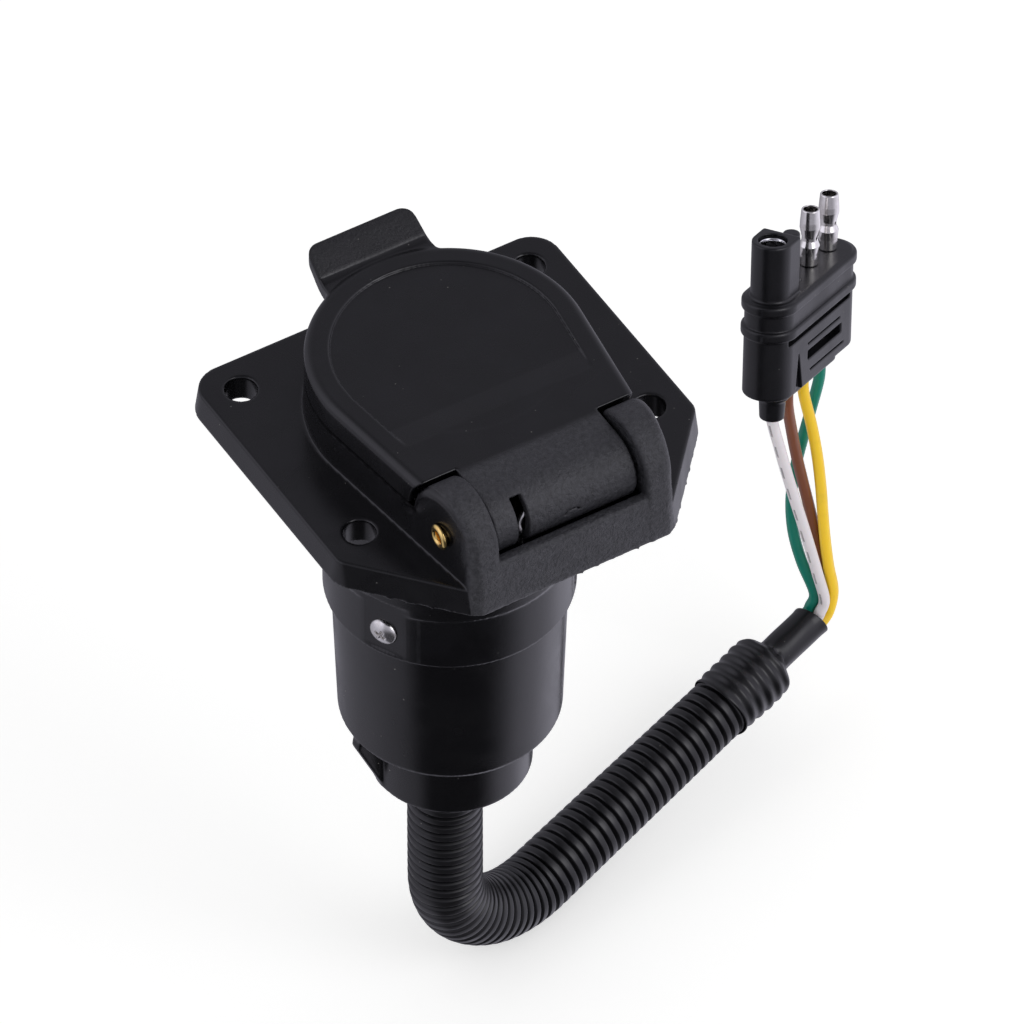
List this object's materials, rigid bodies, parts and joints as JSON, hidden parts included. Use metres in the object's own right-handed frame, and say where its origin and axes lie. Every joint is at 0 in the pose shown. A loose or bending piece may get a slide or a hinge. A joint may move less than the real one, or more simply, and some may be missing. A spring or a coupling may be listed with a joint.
{
  "type": "trailer wiring connector",
  "caption": "Square-flanged round socket with a sprung flip lid, joined by a corrugated loom and coloured wires to a flat in-line plug.",
  "frame": {"origin": "on the socket's axis, at the flange's rear mounting face", "axes": "+Z out of the socket's mouth, X along the lid's hinge, +Y from the hinge towards the finger tab"},
  "size_m": [0.1796, 0.1122, 0.1978],
  "materials": {
    "housing_plastic": "semi-gloss moulded black thermoplastic with a fine spark-eroded grain",
    "lid_plastic": "satin moulded black thermoplastic, pebbled on the finger tab",
    "seal_rubber": "matt black moulded rubber",
    "pin_brass": "yellow-passivated rolled pin, slightly dulled",
    "spring_steel": "bright drawn spring wire",
    "carrier_plastic": "matt black moulded insulator",
    "contact_brass": "stamped brass, lightly toned",
    "screw_zinc": "bright zinc plate",
    "cover_plastic": "gloss black moulded thermoplastic",
    "loom_plastic": "semi-gloss black corrugated polyethylene",
    "shrink_sleeve": "matt black shrunk polyolefin",
    "wire_white": "glossy white PVC insulation with a faint grey printed line of dashes",
    "wire_brown": "glossy brown PVC insulation",
    "wire_yellow": "glossy yellow PVC insulation",
    "wire_green": "glossy green PVC insulation",
    "plug_pvc": "satin black moulded PVC",
    "terminal_nickel": "bright nickel plate"
  },
  "bodies": {
    "socket": {"socket_housing": "housing_plastic", "hinge_pin": "pin_brass", "torsion_spring": "spring_steel", "contact_carrier": "carrier_plastic", "contact_ground": "contact_brass", "contact_brake": "contact_brass", "contact_tail_lamp": "contact_brass", "contact_battery": "contact_brass", "contact_left_turn": "contact_brass", "contact_right_turn": "contact_brass", "centre_pin": "contact_brass", "terminal_screws": "screw_zinc", "cover_screws": "screw_zinc", "rear_cover": "cover_plastic", "cable_grommet": "seal_rubber", "loom": "loom_plastic", "heat_shrink": "shrink_sleeve", "wire_white": "wire_white", "wire_brown": "wire_brown", "wire_yellow": "wire_yellow", "wire_green": "wire_green", "plug_body": "plug_pvc", "plug_pin_brown": "terminal_nickel", "plug_pin_yellow": "terminal_nickel", "plug_pin_green": "terminal_nickel", "plug_ground_terminal": "terminal_nickel"},
    "lid_flap": {"lid": "lid_plastic", "lid_seal": "seal_rubber"}
  },
  "joints": [
    {"name": "lid_hinge", "type": "hinge", "parent": "socket", "child": "lid_flap", "pos_m": [0, -0.04, 0.0155], "axis": [1, 0, 0], "range_deg": [0, 110], "stiffness_Nm_per_rad": 0.04, "deforming": ["torsion_spring"]}
  ]
}
